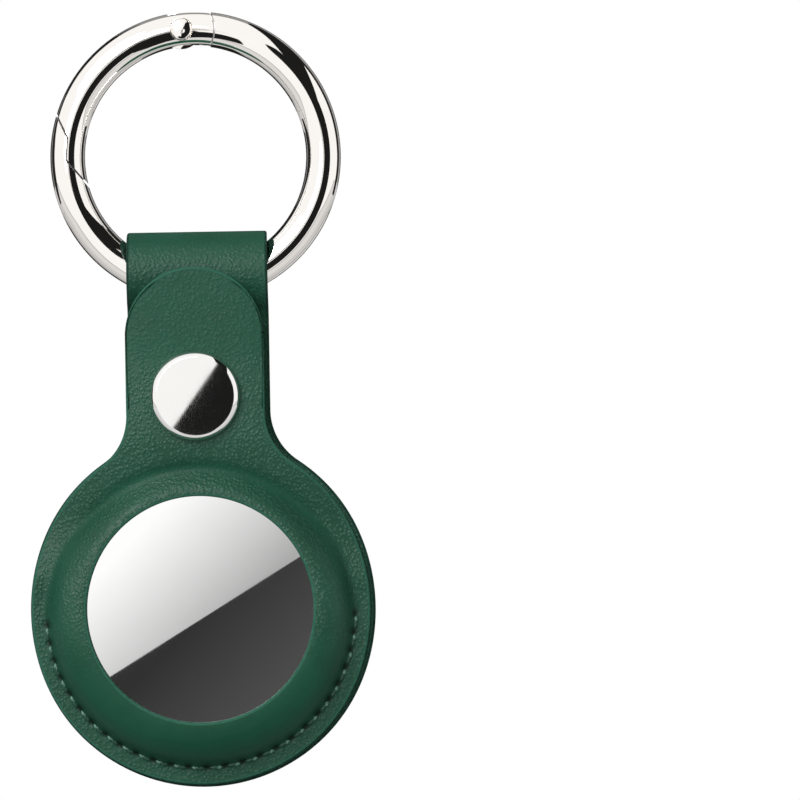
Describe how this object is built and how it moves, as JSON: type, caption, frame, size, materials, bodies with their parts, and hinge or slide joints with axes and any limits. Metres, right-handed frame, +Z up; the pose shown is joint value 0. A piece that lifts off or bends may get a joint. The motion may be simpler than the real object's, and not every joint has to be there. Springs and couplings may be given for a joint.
{
  "type": "tracker tag holder",
  "caption": "Round leather pouch for a disc tracker tag, with a window in front, a snap tongue and a strap loop on a spring-gate ring.",
  "frame": {"origin": "centre of the ring's eye, in the middle of its wire", "axes": "+Z up through the ring, -Y out of the front of the pouch, +X to the right seen from the front"},
  "size_m": [0.0402, 0.0123, 0.0891],
  "materials": {
    "leather": "dark green grained leather with painted edges",
    "thread": "dark green bonded thread",
    "chrome": "polished chrome plate on cast zinc",
    "nickel": "polished nickel plate",
    "snap_brass": "plain pressed brass",
    "spring_steel": "drawn spring wire",
    "mirror_steel": "mirror polished stainless steel",
    "white_plastic": "gloss white plastic",
    "cell_steel": "plated steel can",
    "black_plastic": "moulded black plastic",
    "board": "solder mask",
    "magnet": "nickel plated magnet",
    "copper": "enamelled copper wire"
  },
  "bodies": {
    "ring": {"ring_body": "chrome", "gate_pivot_pin": "chrome"},
    "gate": {"ring_gate": "chrome", "gate_spring": "spring_steel"},
    "case": {"back_panel": "leather", "front_panel_lower": "leather", "seam_needle_thread": "thread", "seam_bobbin_thread": "thread", "strap_needle_thread": "thread", "strap_bobbin_thread": "thread", "snap_stud": "nickel", "snap_back_cap": "nickel", "snap_back_post": "snap_brass"},
    "flap": {"front_flap": "leather", "snap_front_cap": "nickel", "snap_front_post": "snap_brass", "snap_socket": "nickel", "snap_socket_spring": "spring_steel"},
    "tag": {"tag_base_shell": "white_plastic", "tag_coin_cell": "cell_steel", "tag_antenna_frame": "black_plastic", "tag_circuit_board": "board", "tag_speaker_magnet": "magnet", "tag_voice_coil": "copper", "tag_contact_springs": "spring_steel"},
    "tag_cover": {"tag_battery_cover": "mirror_steel"}
  },
  "joints": [
    {"name": "gate_hinge", "type": "hinge", "parent": "ring", "child": "gate", "pos_m": [-0.00136, 0, 0.01464], "axis": [0, -1, 0], "range_deg": [0, 35], "stiffness_Nm_per_rad": 0.02, "springref_deg": -11.46},
    {"name": "case_swing", "type": "hinge", "parent": "ring", "child": "case", "pos_m": [0, 0, -0.01324], "axis": [1, 0, 0], "range_deg": [-110, 110]},
    {"name": "flap_hinge", "type": "hinge", "parent": "case", "child": "flap", "pos_m": [0, -0.0066, -0.05089], "axis": [1, 0, 0], "range_deg": [0, 60], "stiffness_Nm_per_rad": 0.02, "deforming": ["snap_socket_spring"]},
    {"name": "tag_turn", "type": "hinge", "parent": "case", "child": "tag", "pos_m": [0, -0.00125, -0.05239], "axis": [0, -1, 0], "continuous": true},
    {"name": "cover_twist", "type": "hinge", "parent": "tag", "child": "tag_cover", "pos_m": [0, -0.00125, -0.05239], "axis": [0, -1, 0], "range_deg": [0, 20]}
  ]
}
